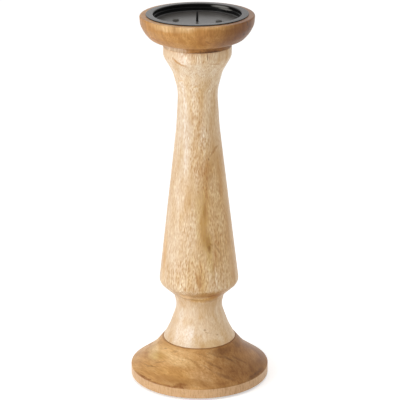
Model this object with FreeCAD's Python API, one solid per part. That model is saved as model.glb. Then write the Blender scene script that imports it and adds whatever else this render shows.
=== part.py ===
import FreeCAD, Part
import math
import os

# Pricket candle stand: a disc base, a baluster column and a bowl-shaped cup, all turned from wood.
# A pressed steel dish lines the cup and carries the spike that holds the candle.
# Millimetres, Z up. The origin is on the floor, on the axis that all the turned pieces share.

# Room left between pieces and past tools
glue_gap = 0.1
slip_gap = 0.1
end_gap = 0.5
overrun = 2.0
run_share = 0.48            # most of a straight run that one rounding may use

# Floor pads, four soft discs under the base
pad_count = 4
pad_radius = 5.0
pad_thickness = 1.9
pad_inset = 8.0             # from the base's edge to the pad's edge

# Base: upright band, then a cone that sweeps up in a cove to the column's foot
base_radius = 59.4
base_band_height = 8.9
base_floor_round = 0.8
base_band_round = 0.5
base_cone_rise = 12.9
base_cove_radius = 41.3
base_cove_round = 50.0
base_cove_rise = 11.8
base_top_radius = 31.8
base_top_round = 0.6

# Column: radii of the corners that its curves round off, from the foot upwards
foot_radius = 31.2
foot_edge_round = 0.4
flare_radius = 25.6
flare_round = 60.0
waist_radius = 19.0
waist_round = 18.0
collar_radius = 21.8
collar_round = 1.0
shoulder_radius = 34.2
shoulder_round = 6.8
shaft_top_radius = 18.2
shaft_top_round = 113.0
throat_radius = 16.3
throat_round = 41.8
sweep_radius = 20.8
sweep_round = 19.3
head_radius = 28.5
head_round = 9.0
head_edge_round = 0.7

# Column: lengths between those corners
flare_length = 10.5
waist_length = 18.8
collar_length = 11.0
shoulder_rise = 11.3
shaft_length = 137.6
throat_length = 30.6
sweep_length = 17.2
head_rise = 13.4
head_band_length = 8.3

# Tenons turned on the column's ends
foot_tenon_radius = 12.0
foot_tenon_length = 14.0
head_tenon_radius = 10.0
head_tenon_length = 6.0
tenon_end_bevel = 0.6

# Cup: foot ring, cove, then a bowl with an upright lip
cup_foot_radius = 28.5
cup_foot_height = 3.6
cup_foot_bottom_round = 0.5
cup_foot_top_round = 0.8
cup_cove_radius = 27.3
cup_cove_rise = 1.35
cup_cove_round = 0.9
cup_belly_radius = 37.7
cup_belly_round = 9.8
cup_turn_radius = 43.75
cup_turn_rise = 6.95
cup_turn_round = 18.9
cup_side_radius = 47.1
cup_side_rise = 6.25
cup_side_round = 11.3
cup_rim_radius = 47.9
cup_lip_rise = 7.8
cup_lip_round = 1.5
cup_recess_ease = 0.6       # bevel at the mouth of the recess that the dish drops into

# Dish: pressed from one sheet, with a flat flange and a wall that steps in halfway down
dish_sheet = 0.8
dish_flange_radius = 42.4
dish_mouth_radius = 36.5
dish_mouth_round = 0.9
dish_step_depth = 3.2
dish_step_width = 0.6
dish_step_round = 0.25
dish_depth = 6.5
dish_floor_round = 1.0
dish_edge_round = 0.2

# Spike, riveted through the dish's floor over a washer
spike_height = 9.0
spike_radius = 1.05
spike_taper_share = 0.72    # radius left where the point begins, as a share of the spike's radius
spike_point_length = 2.4
spike_tip_radius = 0.12
spike_shank_radius = 0.8
spike_rivet_radius = 1.7
spike_rivet_height = 0.9
spike_washer_radius = 4.0
spike_washer_thickness = 1.0

# Screws that hold the dish down
dish_screw_count = 2
dish_screw_ring_radius = 17.9   # from the spike to each screw
dish_screw_turn = -8.4      # degrees, the screws' line about Z
dish_screw_head_radius = 2.7
dish_screw_head_height = 1.3
dish_screw_rim_height = 0.35
dish_screw_crown_share = 0.7    # radius of the flat crown, as a share of the head's radius
dish_screw_radius = 1.4
dish_screw_length = 9.0
dish_screw_point = 2.5

# Screw and washer that clamp the cup to the column, in a pocket under the dish
cup_screw_head_radius = 4.6
cup_screw_head_height = 3.0
cup_screw_radius = 2.2
cup_screw_length = 40.0
cup_screw_point = 4.0
cup_washer_radius = 7.5
cup_washer_thickness = 1.2
pocket_side_room = 1.5
pocket_head_room = 0.8

# Screw and washer that draw the base up to the column, in a counterbore underneath
base_screw_head_radius = 5.2
base_screw_head_height = 3.4
base_screw_radius = 2.5
base_screw_length = 60.0
base_screw_point = 5.0
base_washer_radius = 8.0
base_washer_thickness = 1.5
counterbore_side_room = 1.5
counterbore_sink = 2.1      # how far the screw's head lies above the base's underside

# Cross slot and domed edge that both large screws share
slot_width_share = 0.26     # of the head's radius
slot_depth_share = 0.45     # of the head's height
head_rim_share = 0.4        # upright part of a domed head, of its height

# Levels, each worked out from the pieces below it
base_bottom = pad_thickness
base_height = base_band_height + base_cone_rise + base_cove_rise
base_top = base_bottom + base_height
column_length = (flare_length + waist_length + collar_length + shoulder_rise + shaft_length
                 + throat_length + sweep_length + head_rise + head_band_length)
column_top = base_top + column_length
cup_height = cup_foot_height + cup_cove_rise + cup_turn_rise + cup_side_rise + cup_lip_rise
cup_top = column_top + cup_height
dish_top = cup_top + dish_sheet
dish_floor = dish_top - dish_depth
recess_floor = dish_floor - dish_sheet - slip_gap
recess_radius = dish_mouth_radius + dish_sheet + slip_gap
pocket_radius = cup_washer_radius + pocket_side_room
pocket_depth = (spike_washer_thickness + spike_rivet_height + pocket_head_room
                + cup_screw_head_height + cup_washer_thickness)
pocket_floor = recess_floor - pocket_depth
cup_screw_seat = pocket_floor + cup_washer_thickness
cup_screw_tip = cup_screw_seat - cup_screw_length
counterbore_radius = base_washer_radius + counterbore_side_room
counterbore_depth = counterbore_sink + base_screw_head_height + base_washer_thickness
counterbore_top = base_bottom + counterbore_depth
base_screw_seat = counterbore_top - base_washer_thickness
base_screw_tip = base_screw_seat + base_screw_length

origin = FreeCAD.Vector(0, 0, 0)
up = FreeCAD.Vector(0, 0, 1)


def rounded_loop(corners):
    """Close a loop through (radius, height, rounding) corners with lines and tangent arcs."""
    points = [FreeCAD.Vector(radius, 0, height) for radius, height, rounding in corners]
    count = len(points)
    starts = []
    ends = []
    middles = []
    for index in range(count):
        corner = points[index]
        back = points[index - 1] - corner
        ahead = points[(index + 1) % count] - corner
        rounding = corners[index][2]
        half_angle = back.getAngle(ahead) / 2
        if rounding == 0 or math.pi - 2 * half_angle < 0.001:
            starts.append(corner)
            ends.append(corner)
            middles.append(None)
            continue
        shorter_run = min(back.Length, ahead.Length)
        tangent = min(rounding / math.tan(half_angle), run_share * shorter_run)
        arc_radius = tangent * math.tan(half_angle)
        back.normalize()
        ahead.normalize()
        inward = back + ahead
        inward.normalize()
        starts.append(corner + back * tangent)
        ends.append(corner + ahead * tangent)
        middles.append(corner + inward * (arc_radius / math.sin(half_angle) - arc_radius))
    edges = []
    for index in range(count):
        if middles[index] is not None:
            arc = Part.Arc(starts[index], middles[index], ends[index])
            edges.append(arc.toShape())
        following = starts[(index + 1) % count]
        edges.append(Part.LineSegment(ends[index], following).toShape())
    return Part.Wire(edges)


def turned(corners):
    """Spin a closed half outline about Z."""
    return Part.Face(rounded_loop(corners)).revolve(origin, up, 360)


def drilled(x, y, bottom, top, radius):
    """Cylinder that cuts a straight hole between two levels."""
    return Part.makeCylinder(radius, top - bottom, FreeCAD.Vector(x, y, bottom), up)


def placed_round(count, ring_radius, first_angle):
    """Places evenly spaced on a circle about Z."""
    places = []
    for index in range(count):
        angle = math.radians(first_angle + 360 * index / count)
        places.append((ring_radius * math.cos(angle), ring_radius * math.sin(angle)))
    return places


def screw_places():
    return placed_round(dish_screw_count, dish_screw_ring_radius, dish_screw_turn)


def make_floor_pads():
    ring_radius = base_radius - pad_inset - pad_radius
    pad = turned([
        (0, 0, 0),
        (pad_radius, 0, 0),
        (pad_radius, pad_thickness, 0),
        (0, pad_thickness, 0),
    ])
    pads = []
    for x, y in placed_round(pad_count, ring_radius, 180 / pad_count):
        copy = pad.copy()
        copy.translate(FreeCAD.Vector(x, y, 0))
        pads.append(copy)
    return Part.makeCompound(pads)


def make_base():
    cove_level = base_bottom + base_band_height + base_cone_rise
    blank = turned([
        (0, base_bottom, 0),
        (base_radius, base_bottom, base_floor_round),
        (base_radius, base_bottom + base_band_height, base_band_round),
        (base_cove_radius, cove_level, base_cove_round),
        (base_top_radius, base_top, base_top_round),
        (0, base_top, 0),
    ])
    mortise_depth = foot_tenon_length + end_gap
    mortise = drilled(0, 0, base_top - mortise_depth, base_top + overrun, foot_tenon_radius + glue_gap)
    counterbore = drilled(0, 0, base_bottom - overrun, counterbore_top, counterbore_radius)
    screw_hole = drilled(0, 0, base_bottom, base_top, base_screw_radius + slip_gap)
    return blank.cut(mortise).cut(counterbore).cut(screw_hole)


def make_column():
    flare_level = base_top + flare_length
    waist_level = flare_level + waist_length
    collar_level = waist_level + collar_length
    shoulder_level = collar_level + shoulder_rise
    shaft_level = shoulder_level + shaft_length
    throat_level = shaft_level + throat_length
    sweep_level = throat_level + sweep_length
    head_level = sweep_level + head_rise
    tenon_bottom = base_top - foot_tenon_length
    tenon_top = column_top + head_tenon_length
    blank = turned([
        (0, tenon_bottom, 0),
        (foot_tenon_radius - tenon_end_bevel, tenon_bottom, 0),
        (foot_tenon_radius, tenon_bottom + tenon_end_bevel, 0),
        (foot_tenon_radius, base_top, 0),
        (foot_radius, base_top, foot_edge_round),
        (flare_radius, flare_level, flare_round),
        (waist_radius, waist_level, waist_round),
        (collar_radius, collar_level, collar_round),
        (shoulder_radius, shoulder_level, shoulder_round),
        (shaft_top_radius, shaft_level, shaft_top_round),
        (throat_radius, throat_level, throat_round),
        (sweep_radius, sweep_level, sweep_round),
        (head_radius, head_level, head_round),
        (head_radius, column_top, head_edge_round),
        (head_tenon_radius, column_top, 0),
        (head_tenon_radius, tenon_top - tenon_end_bevel, 0),
        (head_tenon_radius - tenon_end_bevel, tenon_top, 0),
        (0, tenon_top, 0),
    ])
    lower_pilot = drilled(0, 0, tenon_bottom - overrun, base_screw_tip + end_gap, base_screw_radius + slip_gap)
    upper_pilot = drilled(0, 0, cup_screw_tip - end_gap, tenon_top + overrun, cup_screw_radius + slip_gap)
    return blank.cut(lower_pilot).cut(upper_pilot)


def make_cup():
    foot_level = column_top + cup_foot_height
    belly_level = foot_level + cup_cove_rise
    turn_level = belly_level + cup_turn_rise
    side_level = turn_level + cup_side_rise
    blank = turned([
        (0, column_top, 0),
        (cup_foot_radius, column_top, cup_foot_bottom_round),
        (cup_foot_radius, foot_level, cup_foot_top_round),
        (cup_cove_radius, belly_level, cup_cove_round),
        (cup_belly_radius, belly_level, cup_belly_round),
        (cup_turn_radius, turn_level, cup_turn_round),
        (cup_side_radius, side_level, cup_side_round),
        (cup_rim_radius, cup_top, cup_lip_round),
        (0, cup_top, 0),
    ])
    mouth_radius = recess_radius + cup_recess_ease
    recess = turned([
        (0, recess_floor, 0),
        (recess_radius, recess_floor, 0),
        (recess_radius, cup_top - cup_recess_ease, 0),
        (mouth_radius, cup_top, 0),
        (mouth_radius, cup_top + overrun, 0),
        (0, cup_top + overrun, 0),
    ])
    pocket = drilled(0, 0, pocket_floor, cup_top, pocket_radius)
    mortise_top = column_top + head_tenon_length + end_gap
    mortise = drilled(0, 0, column_top - overrun, mortise_top, head_tenon_radius + glue_gap)
    screw_hole = drilled(0, 0, column_top, cup_top, cup_screw_radius + slip_gap)
    cup = blank.cut(recess).cut(pocket).cut(mortise).cut(screw_hole)
    pilot_bottom = dish_floor - dish_screw_length - end_gap
    for x, y in screw_places():
        cup = cup.cut(drilled(x, y, pilot_bottom, cup_top, dish_screw_radius + slip_gap))
    return cup


def make_dish():
    step_level = dish_top - dish_step_depth
    wall_radius = dish_mouth_radius - dish_step_width
    hole_radius = spike_shank_radius + slip_gap
    outer_mouth = dish_mouth_radius + dish_sheet
    outer_wall = wall_radius + dish_sheet
    underside = dish_floor - dish_sheet
    dish = turned([
        (hole_radius, dish_floor, 0),
        (wall_radius, dish_floor, dish_floor_round),
        (wall_radius, step_level, dish_step_round),
        (dish_mouth_radius, step_level, dish_step_round),
        (dish_mouth_radius, dish_top, dish_mouth_round),
        (dish_flange_radius, dish_top, dish_edge_round),
        (dish_flange_radius, cup_top, 0),
        (outer_mouth, cup_top, 0),
        (outer_mouth, step_level - dish_sheet, 0),
        (outer_wall, step_level - dish_sheet, 0),
        (outer_wall, underside, dish_floor_round + dish_sheet),
        (hole_radius, underside, 0),
    ])
    for x, y in screw_places():
        hole = drilled(x, y, underside - overrun, dish_floor + overrun, dish_screw_radius + slip_gap)
        dish = dish.cut(hole)
    return dish


def make_spike():
    washer_bottom = dish_floor - dish_sheet - spike_washer_thickness
    point_level = dish_floor + spike_height - spike_point_length
    tip_level = dish_floor + spike_height
    return turned([
        (0, washer_bottom - spike_rivet_height, 0),
        (spike_rivet_radius, washer_bottom - spike_rivet_height, spike_rivet_height / 2),
        (spike_rivet_radius, washer_bottom, 0),
        (spike_shank_radius, washer_bottom, 0),
        (spike_shank_radius, dish_floor, 0),
        (spike_radius, dish_floor, 0),
        (spike_radius * spike_taper_share, point_level, spike_point_length),
        (spike_tip_radius, tip_level, 0),
        (0, tip_level, 0),
    ])


def make_washer(hole_radius, outer_radius, bottom, top):
    return turned([
        (hole_radius, bottom, 0),
        (outer_radius, bottom, 0),
        (outer_radius, top, 0),
        (hole_radius, top, 0),
    ])


def make_spike_washer():
    top = dish_floor - dish_sheet
    hole_radius = spike_shank_radius + slip_gap
    return make_washer(hole_radius, spike_washer_radius, top - spike_washer_thickness, top)


def make_cup_washer():
    hole_radius = cup_screw_radius + slip_gap
    return make_washer(hole_radius, cup_washer_radius, pocket_floor, cup_screw_seat)


def make_base_washer():
    hole_radius = base_screw_radius + slip_gap
    return make_washer(hole_radius, base_washer_radius, base_screw_seat, counterbore_top)


def make_dish_screws():
    """Low pan-head screws whose heads stand on the dish's floor."""
    rim_level = dish_floor + dish_screw_rim_height
    head_top = dish_floor + dish_screw_head_height
    tip_level = dish_floor - dish_screw_length
    screw = turned([
        (0, tip_level, 0),
        (dish_screw_radius, tip_level + dish_screw_point, 0),
        (dish_screw_radius, dish_floor, 0),
        (dish_screw_head_radius, dish_floor, 0),
        (dish_screw_head_radius, rim_level, 0),
        (dish_screw_head_radius * dish_screw_crown_share, head_top, dish_screw_head_radius),
        (0, head_top, 0),
    ])
    screws = []
    for x, y in screw_places():
        copy = screw.copy()
        copy.translate(FreeCAD.Vector(x, y, 0))
        screws.append(copy)
    return Part.makeCompound(screws)


def make_long_screw(head_radius, head_height, radius, length, point):
    """Round-head wood screw with its seat at the origin, its head above and its point below."""
    rim_height = head_height * head_rim_share
    screw = turned([
        (0, -length, 0),
        (radius, point - length, 0),
        (radius, 0, 0),
        (head_radius, 0, 0),
        (head_radius, rim_height, 0),
        (head_radius - rim_height, head_height, rim_height),
        (0, head_height, 0),
    ])
    slot_width = head_radius * slot_width_share
    slot_length = head_radius
    slot_depth = head_height * slot_depth_share
    corner = FreeCAD.Vector(-slot_length / 2, -slot_width / 2, head_height - slot_depth)
    slot = Part.makeBox(slot_length, slot_width, slot_depth + overrun, corner)
    crossing = slot.copy()
    crossing.rotate(origin, up, 90)
    return screw.cut(slot).cut(crossing)


def make_cup_screw():
    screw = make_long_screw(cup_screw_head_radius, cup_screw_head_height, cup_screw_radius,
                            cup_screw_length, cup_screw_point)
    screw.translate(FreeCAD.Vector(0, 0, cup_screw_seat))
    return screw


def make_base_screw():
    screw = make_long_screw(base_screw_head_radius, base_screw_head_height, base_screw_radius,
                            base_screw_length, base_screw_point)
    screw.rotate(origin, FreeCAD.Vector(1, 0, 0), 180)
    screw.translate(FreeCAD.Vector(0, 0, base_screw_seat))
    return screw


pieces = {
    "floor_pads": make_floor_pads,
    "base": make_base,
    "base_washer": make_base_washer,
    "base_screw": make_base_screw,
    "column": make_column,
    "cup": make_cup,
    "cup_washer": make_cup_washer,
    "cup_screw": make_cup_screw,
    "dish": make_dish,
    "dish_screws": make_dish_screws,
    "spike_washer": make_spike_washer,
    "spike": make_spike,
}

os.makedirs("parts", exist_ok=True)
for name, make in pieces.items():
    shape = make()
    if not shape.isValid():
        raise ValueError(name + " is not a valid solid")
    shape.exportStep("parts/" + name + ".step")
    print(name, "solids", len(shape.Solids), "volume", round(shape.Volume, 1))
print("height to the rim", round(dish_top, 2), "and to the spike's tip", round(dish_floor + spike_height, 2))
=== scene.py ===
import math

import bmesh
import bpy
from mathutils import Matrix, Vector


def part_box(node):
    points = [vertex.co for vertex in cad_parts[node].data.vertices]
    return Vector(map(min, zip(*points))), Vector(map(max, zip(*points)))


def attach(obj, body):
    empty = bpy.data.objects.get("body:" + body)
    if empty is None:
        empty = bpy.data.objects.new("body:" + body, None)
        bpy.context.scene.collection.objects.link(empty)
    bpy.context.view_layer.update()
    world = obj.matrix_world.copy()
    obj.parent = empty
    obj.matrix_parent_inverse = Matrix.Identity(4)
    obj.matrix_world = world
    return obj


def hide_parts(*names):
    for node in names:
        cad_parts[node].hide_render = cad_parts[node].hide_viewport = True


# Turned wooden candle stand with a pressed black dish and a spike for the candle.
# Sizes here are in millimetres. A finished piece is scaled to metres in the frame's own axes.

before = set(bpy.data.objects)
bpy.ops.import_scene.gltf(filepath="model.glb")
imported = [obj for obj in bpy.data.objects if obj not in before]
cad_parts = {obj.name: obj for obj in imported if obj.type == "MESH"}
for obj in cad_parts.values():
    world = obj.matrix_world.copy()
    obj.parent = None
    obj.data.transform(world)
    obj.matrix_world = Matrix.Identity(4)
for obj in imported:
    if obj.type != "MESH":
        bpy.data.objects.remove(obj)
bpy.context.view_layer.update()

millimetre = 0.001
flatTurn = 0.001                                  # radians, under which a corner counts as straight
runShare = 0.48                                   # most of a straight run that one rounding may use
mergeDistance = 0.0005                            # points of a mesh that lie nearer become one
sharpEdge = math.radians(32)
latheDetail = {"around": 160, "thinAround": 32, "arcStep": 1.4, "arcTurn": math.radians(8)}


def boxOf(node):
    low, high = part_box(node)
    return low / millimetre, high / millimetre


def reach(bm, tip, target):                       # straight run from the outline's end to a point
    grown = bmesh.ops.extrude_vert_indiv(bm, verts=[tip])["verts"][0]
    bmesh.ops.translate(bm, verts=[grown], vec=target - grown.co)
    return grown


def roundCorner(bm, tip, before, corner, after, rounding):
    arriving = corner - before
    leaving = after - corner
    shorterRun = min(arriving.length, leaving.length)
    arriving.normalize()
    leaving.normalize()
    turn = math.atan2(arriving.x * leaving.z - arriving.z * leaving.x, arriving.dot(leaving))
    if rounding == 0 or abs(turn) < flatTurn:
        return reach(bm, tip, corner)
    slope = math.tan(abs(turn) / 2)
    tangent = min(rounding * slope, runShare * shorterRun)
    radius = tangent / slope
    side = Vector((-arriving.z, 0, arriving.x)) * math.copysign(radius, turn)
    start = corner - arriving * tangent
    tip = reach(bm, tip, start)
    steps = max(2, math.ceil(abs(turn) * radius / latheDetail["arcStep"]),
                math.ceil(abs(turn) / latheDetail["arcTurn"]))
    arc = bmesh.ops.spin(bm, geom=[tip], cent=start + side, axis=(0, -1, 0), angle=turn, steps=steps)
    return [part for part in arc["geom_last"] if isinstance(part, bmesh.types.BMVert)][0]


def turnOutline(corners, around=latheDetail["around"]):   # corners are (radius, height, rounding)
    bm = bmesh.new()
    points = [Vector((radius, 0, height)) for radius, height, rounding in corners]
    tip = bmesh.ops.create_vert(bm, co=points[0])["vert"][0]
    for index in range(1, len(points) - 1):
        rounding = corners[index][2]
        tip = roundCorner(bm, tip, points[index - 1], points[index], points[index + 1], rounding)
    reach(bm, tip, points[-1])
    bmesh.ops.spin(bm, geom=bm.verts[:] + bm.edges[:], cent=(0, 0, 0), axis=(0, 0, 1), angle=math.tau,
                   steps=around, use_merge=True)
    closeShell(bm)
    return bm


def closeShell(bm):
    bmesh.ops.remove_doubles(bm, verts=bm.verts[:], dist=mergeDistance)
    bmesh.ops.recalc_face_normals(bm, faces=bm.faces[:])


def meshObject(name, bm):
    bmesh.ops.scale(bm, vec=(millimetre, millimetre, millimetre), verts=bm.verts[:])
    for face in bm.faces:
        face.smooth = True
    for edge in bm.edges:
        edge.smooth = edge.calc_face_angle(0) < sharpEdge
    mesh = bpy.data.meshes.new(name)
    bm.to_mesh(mesh)
    bm.free()
    piece = bpy.data.objects.new(name, mesh)
    bpy.context.scene.collection.objects.link(piece)
    return piece


def seatPiece(piece, node, material):
    piece.data.materials.append(material)
    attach(piece, "root")
    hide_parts(node)
    print("made", piece.name, "with", len(piece.data.polygons), "faces")


def carve(piece, bm):                             # cuts the shape in bm out of a piece
    cutter = meshObject("cutter", bm)
    cut = piece.modifiers.new("cut", "BOOLEAN")
    cut.operation = "DIFFERENCE"
    cut.solver = "EXACT"
    cut.object = cutter
    bpy.context.view_layer.update()
    shaped = piece.evaluated_get(bpy.context.evaluated_depsgraph_get())
    mesh = bpy.data.meshes.new_from_object(shaped)
    piece.modifiers.clear()
    piece.data = mesh
    bpy.data.objects.remove(cutter)
    bm = bmesh.new()
    bm.from_mesh(piece.data)
    for edge in bm.edges:
        edge.smooth = edge.calc_face_angle(0) < sharpEdge
    bm.to_mesh(piece.data)
    bm.free()


# Shader maths: a Value is one socket, and sums written with it add the nodes that work them out

noiseMiddle = 0.5                                 # the level that a noise texture swings about


class Value:
    def __init__(self, finish, socket):
        self.finish = finish
        self.socket = socket

    def output(self, name):                       # another output of the same node
        return Value(self.finish, self.socket.node.outputs[name])

    def maths(self, operation, first, second):
        return self.finish.add("ShaderNodeMath", {"operation": operation}, {0: first, 1: second})

    def __add__(self, other):
        return self.maths("ADD", self, other)

    def __radd__(self, other):
        return self.maths("ADD", other, self)

    def __sub__(self, other):
        return self.maths("SUBTRACT", self, other)

    def __rsub__(self, other):
        return self.maths("SUBTRACT", other, self)

    def __mul__(self, other):
        return self.maths("MULTIPLY", self, other)

    def __rmul__(self, other):
        return self.maths("MULTIPLY", other, self)

    def __truediv__(self, other):
        return self.maths("DIVIDE", self, other)


class Finish:
    def __init__(self, tree):
        self.tree = tree
        self.tree.nodes.clear()

    def add(self, kind, settings, inputs, output=0):
        node = self.tree.nodes.new(kind)
        for name, setting in settings.items():
            if name == "stops":
                placeStops(node.color_ramp, setting)
            else:
                setattr(node, name, setting)
        for name, given in inputs.items():
            if isinstance(given, Value):
                self.tree.links.new(given.socket, node.inputs[name])
            else:
                node.inputs[name].default_value = given
        return Value(self, node.outputs[output]) if node.outputs else None

    def place(self):                              # the piece's own place, in millimetres
        place = self.add("ShaderNodeTexCoord", {}, {}, "Object")
        return self.vector("SCALE", place, scale=1 / millimetre)

    def vector(self, operation, first, second=(0, 0, 0), scale=1, output=0):
        inputs = {0: first, 1: second}
        if operation == "SCALE":
            inputs = {0: first, "Scale": scale}
        return self.add("ShaderNodeVectorMath", {"operation": operation}, inputs, output)

    def separate(self, vector):
        first = self.add("ShaderNodeSeparateXYZ", {}, {0: vector})
        return first, first.output("Y"), first.output("Z")

    def offAxis(self, place):                     # distance from the axis of a turned piece or a log
        return self.vector("LENGTH", self.vector("MULTIPLY", place, (1, 1, 0)), output="Value")

    def noise(self, place, size, detail=2.0, roughness=0.5, output=0):
        inputs = {"Vector": self.vector("DIVIDE", place, size), "Scale": 1.0, "Detail": detail,
                  "Roughness": roughness}
        return self.add("ShaderNodeTexNoise", {}, inputs, output)

    def cells(self, place, size):                 # distance to the nearest of many scattered points
        inputs = {"Vector": self.vector("DIVIDE", place, size), "Scale": 1.0}
        return self.add("ShaderNodeTexVoronoi", {"feature": "F1"}, inputs, "Distance")

    def stray(self, place, size, reach):          # the place moved aside by a smooth random step
        step = self.noise(place, size, 3.0, 0.55, "Color")
        step = self.vector("SUBTRACT", step, (noiseMiddle, noiseMiddle, noiseMiddle))
        return self.vector("ADD", place, self.vector("SCALE", step, scale=reach))

    def bump(self, strength, distance, height):
        inputs = {"Strength": strength, "Distance": distance, "Height": height}
        return self.add("ShaderNodeBump", {}, inputs)

    def tinted(self, colour, tint, share):        # colour times tint, in so far as share says
        full = self.vector("MULTIPLY", colour, tint)
        return self.blend(share, colour, full)

    def rise(self, value, low, high):             # 0 under low, 1 over high, smooth between
        inputs = {"Value": value, "From Min": low, "From Max": high}
        return self.add("ShaderNodeMapRange", {"interpolation_type": "SMOOTHSTEP"}, inputs)

    def blend(self, share, first, second):
        return self.add("ShaderNodeMix", {"data_type": "RGBA"}, {0: share, 6: first, 7: second}, 2)

    def limit(self, value, least=0.0):
        return self.add("ShaderNodeClamp", {}, {0: value, "Min": least})


def placeStops(ramp, stops):
    while len(ramp.elements) < len(stops):
        ramp.elements.new(1)
    for element, (position, colour) in zip(ramp.elements, stops):
        element.position = position
        element.color = colour


def linear(level):                                # screen level 0 to 255 as a linear share, by sRGB
    share = level / 255
    return share / 12.92 if share <= 0.04045 else ((share + 0.055) / 1.055) ** 2.4


def shade(red, green, blue):
    return (linear(red), linear(green), linear(blue), 1)


def surface(name, settings):                      # a new material whose shader has these plain settings
    material = bpy.data.materials.new(name)
    material.use_nodes = True
    finish = Finish(material.node_tree)
    shader = finish.add("ShaderNodeBsdfPrincipled", {}, settings)
    finish.add("ShaderNodeOutputMaterial", {}, {"Surface": shader})
    return material, finish, shader.socket.node


def connect(finish, shader, inputs):
    for name, value in inputs.items():
        finish.tree.links.new(value.socket, shader.inputs[name])


def streakMask(finish, place, streak):            # soft-ended streak about a point in the piece
    middle, along, length, width, strength = streak[:5]
    along = Vector(along).normalized()
    offset = finish.vector("SUBTRACT", place, middle)
    run = finish.vector("DOT_PRODUCT", offset, along / length, output="Value")
    share = run * run
    foot = finish.vector("SCALE", along * length, scale=run)
    if len(streak) > 6:                           # its ends bend aside
        foot = finish.vector("ADD", foot, finish.vector("SCALE", streak[6], scale=share))
    aside = finish.vector("DISTANCE", offset, foot, output="Value") / width
    inputs = {"Value": share + aside * aside, "From Min": 1.0, "From Max": 0.0, "To Max": strength}
    return finish.add("ShaderNodeMapRange", {"interpolation_type": "SMOOTHSTEP"}, inputs)


# What all the woods share. An edge or a chance is where a mask starts and where it is full. A stray is
# the size and reach of the random steps that make the outline of a mark ragged.
woodDetail = {
    "poreEdge": (0.1, 0.38), "poreChance": (0.5, 1.1), "crowdChance": 0.7,
    "pinEdge": (0.1, 0.45), "pinChance": (0.3, 0.9),
    "heartStray": ((22, 22, 60), 26), "patchStray": ((5, 5, 9), 3.5),
    "streakStray": ((1.2, 1.2, 3.5), 1.3), "streakGrain": 1.6,
    "lineSize": (0.9, 0.9, 6), "lineEdge": (0.42, 0.66),
    "roughSize": (1.7, 1.7, 1.7), "bumpDistance": 0.0002,
    "fibreHeight": 0.35, "fleckHeight": 0.2, "poreSink": 0.8, "roughHeight": 0.25,
    "roughSpread": 0.16, "poreRough": 0.12, "paleGloss": 0.05,
}


def zoneMask(finish, place, zone):                # between two heights, and beyond a radius if one is given
    z = finish.separate(place)[2]
    soft = zone["soft"]
    above = finish.rise(z, zone["from"], zone["from"] + soft)
    mask = above * (1 - finish.rise(z, zone["to"] - soft, zone["to"]))
    if "beyond" in zone:
        mask = mask * finish.rise(finish.offAxis(place), zone["beyond"], zone["beyond"] + soft)
    if "lines" in zone:                           # broken up by fine upright lines
        lines = finish.rise(finish.noise(place, woodDetail["lineSize"]), *woodDetail["lineEdge"])
        mask = mask * (1 - lines * zone["lines"])
    return mask * zone["strength"]


def readGrain(finish, place, look):               # the log's rings, figure, fibres and flecks at a place
    log = finish.add("ShaderNodeMapping", {"vector_type": "POINT"},
                     {"Vector": place, "Location": look["heart"], "Rotation": look["lean"]})
    wild = finish.stray(log, look["wanderSize"], look["wander"])
    rings = finish.offAxis(wild) / look["ringWidth"]
    bent = finish.stray(log, look["waveSize"], look["wave"])
    return {
        "bent": bent,
        "bands": finish.add("ShaderNodeTexNoise", {"noise_dimensions": "1D"},
                            {"W": rings, "Scale": 1.0, "Detail": 2.0, "Roughness": 0.6}),
        "figure": finish.noise(bent, look["figureSize"], 2.0, 0.5),
        "mottle": finish.noise(bent, look["mottleSize"], 2.0, 0.6),
        "fibres": finish.noise(bent, look["fibreSize"], 2.0, 0.6),
        "flecks": finish.noise(bent, look["fleckSize"], 1.0, 0.5),
    }


def crowdOf(finish, place, figure, look):         # how close the pores lie and how lively the grain is
    crowd = finish.rise(figure, *look["poreCrowd"]) * look["poreSpread"]
    for patch in look["crowds"]:
        crowd = crowd + streakMask(finish, place, patch)
    return finish.limit(crowd, look["leastCrowd"])


def dots(finish, place, size, edge, chance, more=0.0):    # scattered dots, of which chance keeps some
    nearest = finish.cells(place, size)
    luck = finish.separate(nearest.output("Color"))[0]
    return (1 - finish.rise(nearest, *edge)) * finish.rise(luck + more, *chance)


def poreMask(finish, bent, crowd, look):          # short dashes, with finer marks between them
    dashes = dots(finish, bent, look["poreSize"], woodDetail["poreEdge"], woodDetail["poreChance"],
                  crowd * woodDetail["crowdChance"])
    pins = dots(finish, bent, look["pinSize"], woodDetail["pinEdge"], woodDetail["pinChance"])
    return finish.limit(dashes * look["poreDepth"] + pins * look["pinDepth"])


def grainColour(finish, grain, crowd, look):      # the wood's own colour, and the tone behind it
    contrast = look["calm"] + crowd * (1 - look["calm"])
    tone = (noiseMiddle + (grain["bands"] - noiseMiddle) * look["bandTone"]
            + (grain["figure"] - noiseMiddle) * look["figureTone"]
            + (grain["mottle"] - noiseMiddle) * look["mottleTone"] * contrast)
    colour = finish.add("ShaderNodeValToRGB", {"stops": look["ramp"]}, {0: tone})
    fine = ((grain["fibres"] - noiseMiddle) * look["fibreTone"]
            + (grain["flecks"] - noiseMiddle) * look["fleckTone"]) * contrast
    weighted = finish.vector("MULTIPLY", colour, look["grainWeights"])
    return finish.vector("ADD", colour, finish.vector("SCALE", weighted, scale=fine)), tone


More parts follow.
